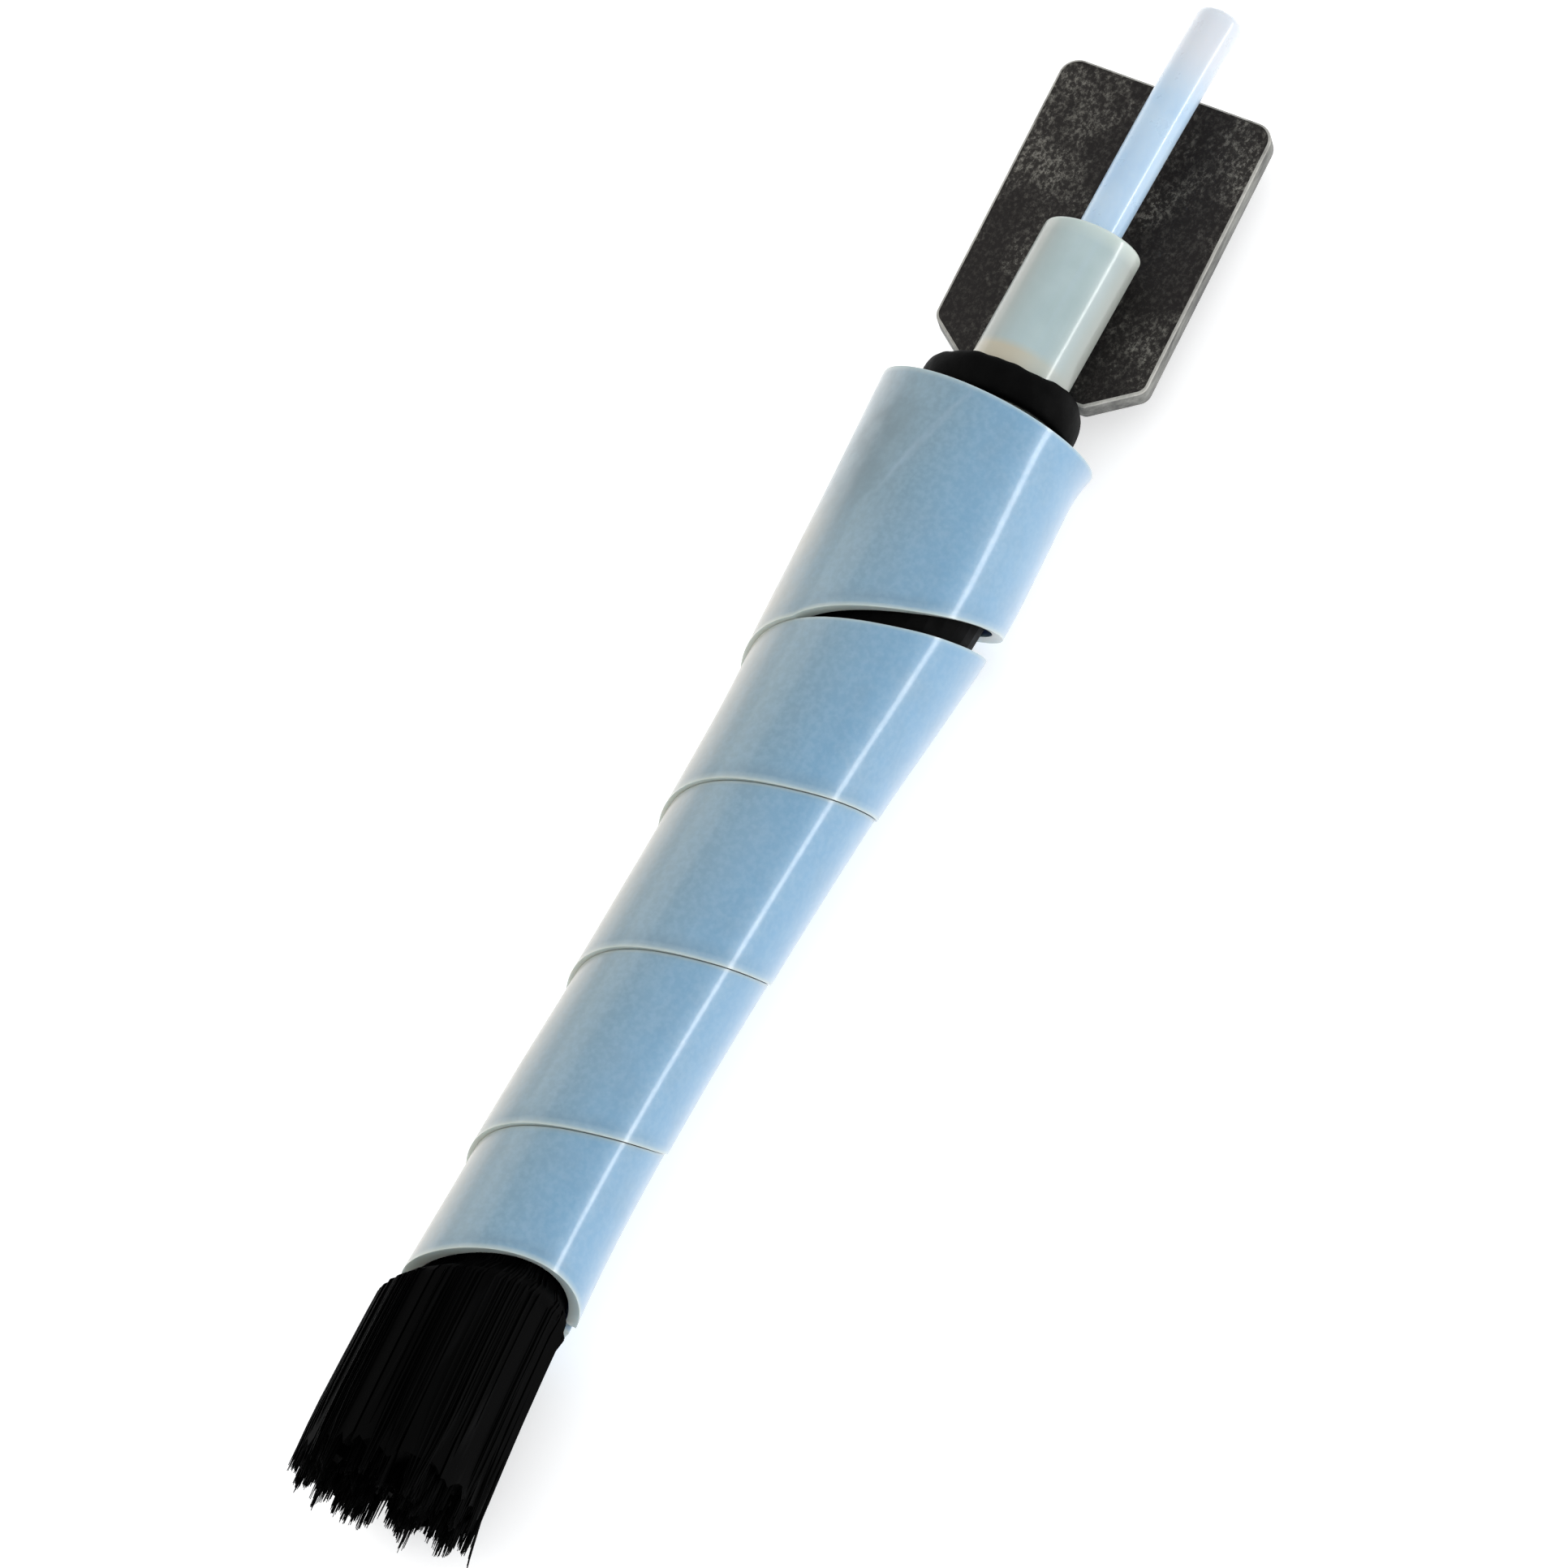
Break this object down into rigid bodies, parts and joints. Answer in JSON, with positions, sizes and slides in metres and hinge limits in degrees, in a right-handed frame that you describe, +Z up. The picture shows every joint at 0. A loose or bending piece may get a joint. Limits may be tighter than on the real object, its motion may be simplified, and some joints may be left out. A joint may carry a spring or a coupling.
{
  "type": "fluid-fed cleaning brush",
  "caption": "Short cleaning brush head: black carbon-fibre bundle in a tapered spiral-cut translucent tube, with a flat metal terminal plate, sleeve and thin feed tube.",
  "frame": {"origin": "on the resting surface, under the centre of the object's box, with the brush lying on its side", "axes": "+X along the lower bundle towards the terminal plate and the feed tube, +Z up and square to the terminal plate's face, +Y to the side the head leans to"},
  "size_m": [0.1024, 0.016, 0.0131],
  "materials": {
    "wrap_plastic": "translucent milky blue, satin",
    "sleeve_plastic": "translucent milky grey-green, satin",
    "feed_plastic": "translucent milky white, satin",
    "plate_metal": "dark oxidised, mottled, edges worn lighter",
    "ferrule_metal": "rolled and crimped",
    "ring_rubber": "matt black",
    "shrink_tube": "smooth black, shrunk on",
    "sealant": "matt black, uneven",
    "carbon_fibre": "black fibre tow with a faint sheen along the fibres"
  },
  "bodies": {
    "brush": {"carbon_tow_01": "carbon_fibre", "carbon_tow_02": "carbon_fibre", "carbon_tow_03": "carbon_fibre", "carbon_tow_04": "carbon_fibre", "carbon_tow_05": "carbon_fibre", "carbon_tow_06": "carbon_fibre", "carbon_tow_07": "carbon_fibre", "carbon_tow_08": "carbon_fibre", "carbon_tow_09": "carbon_fibre", "carbon_tow_10": "carbon_fibre", "carbon_tow_11": "carbon_fibre", "carbon_tow_12": "carbon_fibre", "carbon_tow_13": "carbon_fibre", "carbon_tow_14": "carbon_fibre", "carbon_tow_15": "carbon_fibre", "carbon_tow_16": "carbon_fibre", "carbon_tow_17": "carbon_fibre", "carbon_tow_18": "carbon_fibre", "crimp_ferrule": "ferrule_metal", "binding_sleeve": "shrink_tube", "retaining_ring": "ring_rubber", "seal_bead_left": "sealant", "seal_bead_right": "sealant", "terminal_plate": "plate_metal", "tube_sleeve": "sleeve_plastic"},
    "wrap": {"spiral_wrap": "wrap_plastic"},
    "feed_tube": {"feed_tube": "feed_plastic"}
  },
  "joints": [
    {"name": "wrap_slide", "type": "slide", "parent": "brush", "child": "wrap", "axis": [1, 0, 0], "range_m": [0, 0.0034]},
    {"name": "feed_tube_slide", "type": "slide", "parent": "brush", "child": "feed_tube", "axis": [0.9997, 0.0262, 0], "range_m": [0, 0.01]}
  ]
}
